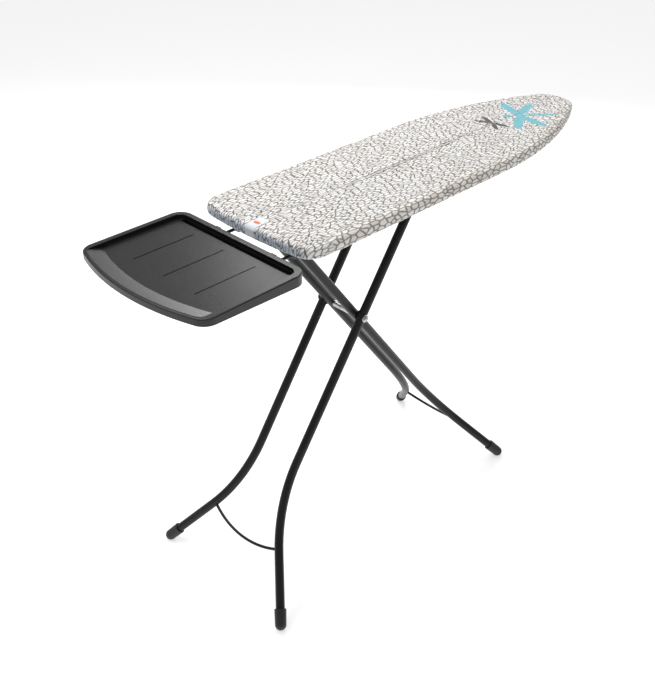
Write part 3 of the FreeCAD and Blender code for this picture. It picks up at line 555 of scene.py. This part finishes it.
def ring_surface(name, rows, lengths, outline, underside=False):
    """Skin round the board's outline, drawn in to the board's middle line on top."""
    points, inward, _ = outline
    count = len(points)
    start = points + inward * rows[0, 0]
    spine = np.stack([
        np.clip(start[:, 0], REAR_X + SPINE_REAR * HALF_WIDTH, COVER_HIGH.x - SPINE_NOSE * HALF_WIDTH),
        np.zeros(count),
    ], axis=1)
    rings, flats, depths = [], [], []

    def add_inner(share, z):
        place = spine + (start - spine) * share
        rings.append(np.c_[place, np.full(count, z)])
        flats.append(place)
        depths.append(np.full(count, FAR_INSIDE))

    for share in np.linspace(INNERMOST, 1.0, INNER_RINGS)[:-1]:
        add_inner(share, rows[0, 1])
    for (inset, z), left in zip(rows, lengths):
        rings.append(np.c_[points + inward * inset, np.full(count, z)])
        flats.append(points + inward * left)
        depths.append(np.full(count, left))
    if underside:
        for share in np.linspace(1.0, INNERMOST, INNER_RINGS):
            add_inner(share, rows[-1, 1])
    thing = bpy.data.objects.new(name, ring_mesh(name, rings, flats, depths))
    bpy.context.scene.collection.objects.link(thing)
    return thing


def close_spine(thing):
    """Join the innermost ring across the board's middle line."""
    work = bmesh.new()
    work.from_mesh(thing.data)
    rim = [e for e in work.edges if e.is_boundary and all(abs(v.co.y) < SPINE_REACH for v in e.verts)]
    filled = bmesh.ops.holes_fill(work, edges=rim, sides=0)
    sheet = work.loops.layers.uv["cloth"]
    for face in bmesh.ops.triangulate(work, faces=filled["faces"])["faces"]:
        for loop in face.loops:
            loop[sheet].uv = loop.vert.co.xy
    bmesh.ops.recalc_face_normals(work, faces=work.faces)
    crown = max(work.faces, key=lambda face: face.calc_center_median().z)
    if crown.normal.z < 0:
        bmesh.ops.reverse_faces(work, faces=work.faces)
    for face in work.faces:
        face.smooth = True
    work.to_mesh(thing.data)
    work.free()


def read_points(mesh):
    """Vertex positions as rows of an array."""
    found = np.empty(len(mesh.vertices) * 3, np.float32)
    mesh.vertices.foreach_get("co", found)
    return found.reshape(-1, 3).astype(float)


def write_points(mesh, points):
    """Put rows of an array back as vertex positions."""
    mesh.vertices.foreach_set("co", points.astype(np.float32).ravel())
    mesh.update()


def shape_weights(outline, rings, rows):
    """How firmly each cloth point is held, and how full the cloth is cut there, both from 0 to 1."""
    points, _, bend = outline
    inner = rings - len(rows)
    corner = np.clip(bend / CORNER_BEND, 0.0, 1.0)
    rear = np.clip(1.0 - (points[:, 0] - REAR_X) / REAR_FADE, 0.0, 1.0)
    most = np.maximum(corner, REAR_FULL * rear)
    fullness = np.clip(LEAST_FULL + (1.0 - LEAST_FULL) * most, 0.0, 1.0)
    hold, full = [], []
    for ring in range(rings):
        row = ring - inner
        held = 1.0 if row < 1 or row >= len(rows) - HEM_ROWS_HELD else 0.0
        hold.append(np.full(len(points), held))
        spread = np.clip(row / (TOP_ROWS - 1), 0.0, 1.0) ** 2
        full.append(fullness * spread)
    return np.concatenate(hold), np.concatenate(full)


def fill_group(thing, name, weights):
    """A vertex group with one weight per point."""
    group = thing.vertex_groups.new(name=name)
    for index, weight in enumerate(weights):
        group.add([index], float(weight), "REPLACE")


def settle(cloth, body, hold, full):
    """Let the slightly full cloth buckle over its padded edge, then keep the result."""
    rest = read_points(cloth.data)
    stir = np.random.default_rng(STIR_SEED)
    loose = 1.0 - hold
    write_points(cloth.data, rest + stir.normal(0.0, STIR, rest.shape) * loose[:, None])
    fill_group(cloth, "hold", hold)
    fill_group(cloth, "full", full)
    body.modifiers.new("collision", "COLLISION")
    body.collision.thickness_outer = CLEARANCE
    body.collision.cloth_friction = 12.0
    made = cloth.modifiers.new("cloth", "CLOTH")
    made.settings.quality = 4
    made.settings.mass = 0.12
    made.settings.tension_stiffness = 40.0
    made.settings.compression_stiffness = 40.0
    made.settings.shear_stiffness = 12.0
    made.settings.bending_stiffness = 0.25
    made.settings.vertex_group_mass = "hold"
    made.settings.vertex_group_shrink = "full"
    made.settings.shrink_min = 0.0
    made.settings.shrink_max = GROWTH
    made.settings.effector_weights.gravity = 0.0
    made.collision_settings.use_self_collision = False
    made.collision_settings.distance_min = CLEARANCE
    scene = bpy.context.scene
    for step in range(1, SIM_FRAMES + 1):
        scene.frame_set(step)
    settled = cloth.evaluated_get(bpy.context.evaluated_depsgraph_get())
    moved = read_points(settled.data) - rest
    size = np.linalg.norm(moved, axis=1, keepdims=True)
    moved *= np.minimum(1.0, MOST_SWELL / np.maximum(size, 1e-9))
    cloth.modifiers.remove(made)
    scene.frame_set(1)
    kept = rest + moved
    kept[:, 0] = np.maximum(kept[:, 0], REAR_X - REAR_SWELL)
    write_points(cloth.data, kept)


def build_cover():
    """The fitted cover as one sheet, settled by a cloth simulation, its outline and what turns under."""
    outline = board_outline()
    rows, lengths = profile(COVER_ROUND, TOP_Z, HEM_Z, HEM_REACH)
    cloth = ring_surface("cover_sheet", rows, lengths, outline)
    shape = profile(COVER_ROUND, TOP_Z - FORM_GAP, HEM_Z + FORM_GAP, HEM_REACH, FORM_GAP)
    body = ring_surface("cover_form", *shape, outline)
    rings = len(cloth.data.vertices) // len(outline[0])
    settle(cloth, body, *shape_weights(outline, rings, rows))
    bpy.data.objects.remove(body)
    cloth.vertex_groups.clear()
    close_spine(cloth)
    cloth.data.materials.append(COVER)
    return cloth, outline, -lengths[-1]


def cut_label(cloth):
    """White label: the cloth's own faces over the rear edge, lifted a little and made thick."""
    low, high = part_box("cover_label")
    work = bmesh.new()
    work.from_mesh(cloth.data)
    gone = []
    for face in work.faces:
        middle = face.calc_center_median()
        inside = middle.x < high.x and low.y < middle.y < high.y and middle.z > low.z
        if not inside:
            gone.append(face)
    bmesh.ops.delete(work, geom=gone, context="FACES")
    work.normal_update()
    for vertex in work.verts:
        vertex.co += vertex.normal * LABEL_LIFT
    mesh = bpy.data.meshes.new("label")
    work.to_mesh(mesh)
    work.free()
    mesh.materials.append(LABEL)
    label = bpy.data.objects.new("label", mesh)
    bpy.context.scene.collection.objects.link(label)
    skin = label.modifiers.new("thickness", "SOLIDIFY")
    skin.thickness = LABEL_THICKNESS
    skin.offset = 1.0
    return label


def build_foam():
    """Felt and foam pad with rounded edges and slightly uneven faces."""
    low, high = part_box("foam_pad")
    radius = (high.z - low.z) / 2.0
    inset = COVER_HIGH.x - high.x
    rows = [(at, high.z) for at in (PINNED_INSET, PAD_MIDDLE * PINNED_INSET, inset + 2 * radius)]
    for angle in np.radians(np.arange(0.0, 181.0, PAD_TURN)):
        place = inset + radius * (1 - math.sin(angle))
        rows.append((place, low.z + radius * (1 + math.cos(angle))))
    rows.append((PINNED_INSET, low.z))
    rows = np.array(rows)
    pad = ring_surface("foam_layer", rows, rows[:, 0], cover_outline, underside=True)
    points = read_points(pad.data)
    x, y = points[:, 0], points[:, 1]
    swell = np.sin(x * PAD_WAVE + 2.0 * np.sin(y * PAD_DRIFT)) * np.sin(y * PAD_CROSS_WAVE)
    dip = PAD_DIP * (1.0 + swell)
    points[:, 2] -= dip * (points[:, 2] > low.z + radius)
    points[:, 2] += dip * (points[:, 2] < low.z + radius)
    write_points(pad.data, points)
    close_spine(pad)
    pad.data.materials.append(FOAM)
    return pad


def soften(thing):
    """One subdivision."""
    rounder = thing.modifiers.new("subdivision", "SUBSURF")
    rounder.levels = 1
    rounder.render_levels = 1
    rounder.uv_smooth = "SMOOTH_ALL"


cover_sheet, cover_outline, turned_under = build_cover()
label = cut_label(cover_sheet)
soften(cover_sheet)
soften(label)
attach(cover_sheet, "board")
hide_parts("cover")
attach(label, "board")
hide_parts("cover_label")
foam = build_foam()
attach(foam, "board")
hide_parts("foam_pad")

# ---------------------------------------------------------------- stage, light and camera

FLOOR_SIZE = 60.0
FLOOR_GLOW = 0.58
SURROUND_LIGHT = 0.36

# each lamp: name, place, what it points at, width, power
LAMPS = (
    ("key", (-0.5, 0.9, 3.4), (0, 0, 0.6), 2.2, 58.0),
    ("sheen", (2.2, 2.0, 2.1), (-0.4, 0, 0.9), 1.6, 40.0),
)

VIEW_AZIMUTH = math.radians(-45.03)
VIEW_ELEVATION = math.radians(33.70)
VIEW_DISTANCE = 2.683
AIM_OFFSET = Vector((-0.133, 0.064, -0.0015))    # from the middle of the object's box
LENS = 49.67

def area_light(name, place, aim, size, power):
    """A soft square lamp at a place, pointed at another; power in watts."""
    lamp = bpy.data.lights.new(name, "AREA")
    lamp.shape = "SQUARE"
    lamp.size = size
    lamp.energy = power
    thing = bpy.data.objects.new(name, lamp)
    bpy.context.scene.collection.objects.link(thing)
    thing.location = place
    thing.rotation_euler = (Vector(aim) - Vector(place)).to_track_quat("-Z", "Y").to_euler()


def build_stage():
    """Plain pale floor and an even surround."""
    bpy.ops.mesh.primitive_plane_add(size=FLOOR_SIZE, location=(0, 0, 0))
    floor = bpy.context.object
    floor.name = "floor"
    s = Shader("pale_floor")
    s.set(Base_Color=rgb(0.84, 0.84, 0.84), Roughness=0.9, Specular_IOR_Level=0.1)
    s.set(Emission_Color=rgb(1.0, 1.0, 1.0), Emission_Strength=FLOOR_GLOW)
    floor.data.materials.append(s.material)
    world = bpy.data.worlds.new("studio")
    world.use_nodes = True
    world.node_tree.nodes["Background"].inputs["Color"].default_value = rgb(1, 1, 1)
    world.node_tree.nodes["Background"].inputs["Strength"].default_value = SURROUND_LIGHT
    bpy.context.scene.world = world


def build_camera():
    """Camera looking down along the board from its tray end."""
    low, high = (Vector(corner) for corner in cad_box)
    aim = (low + high) / 2.0 + AIM_OFFSET
    back = Vector((
        math.sin(VIEW_AZIMUTH) * math.cos(VIEW_ELEVATION),
        -math.cos(VIEW_AZIMUTH) * math.cos(VIEW_ELEVATION),
        math.sin(VIEW_ELEVATION),
    ))
    lens = bpy.data.cameras.new("camera")
    lens.lens = LENS
    lens.clip_end = 100.0
    camera = bpy.data.objects.new("camera", lens)
    bpy.context.scene.collection.objects.link(camera)
    camera.location = aim + back * VIEW_DISTANCE
    camera.rotation_euler = back.to_track_quat("Z", "Y").to_euler()
    bpy.context.scene.camera = camera


build_stage()
build_camera()
for lamp_row in LAMPS:
    area_light(*lamp_row)
bpy.context.scene.view_settings.view_transform = "Standard"
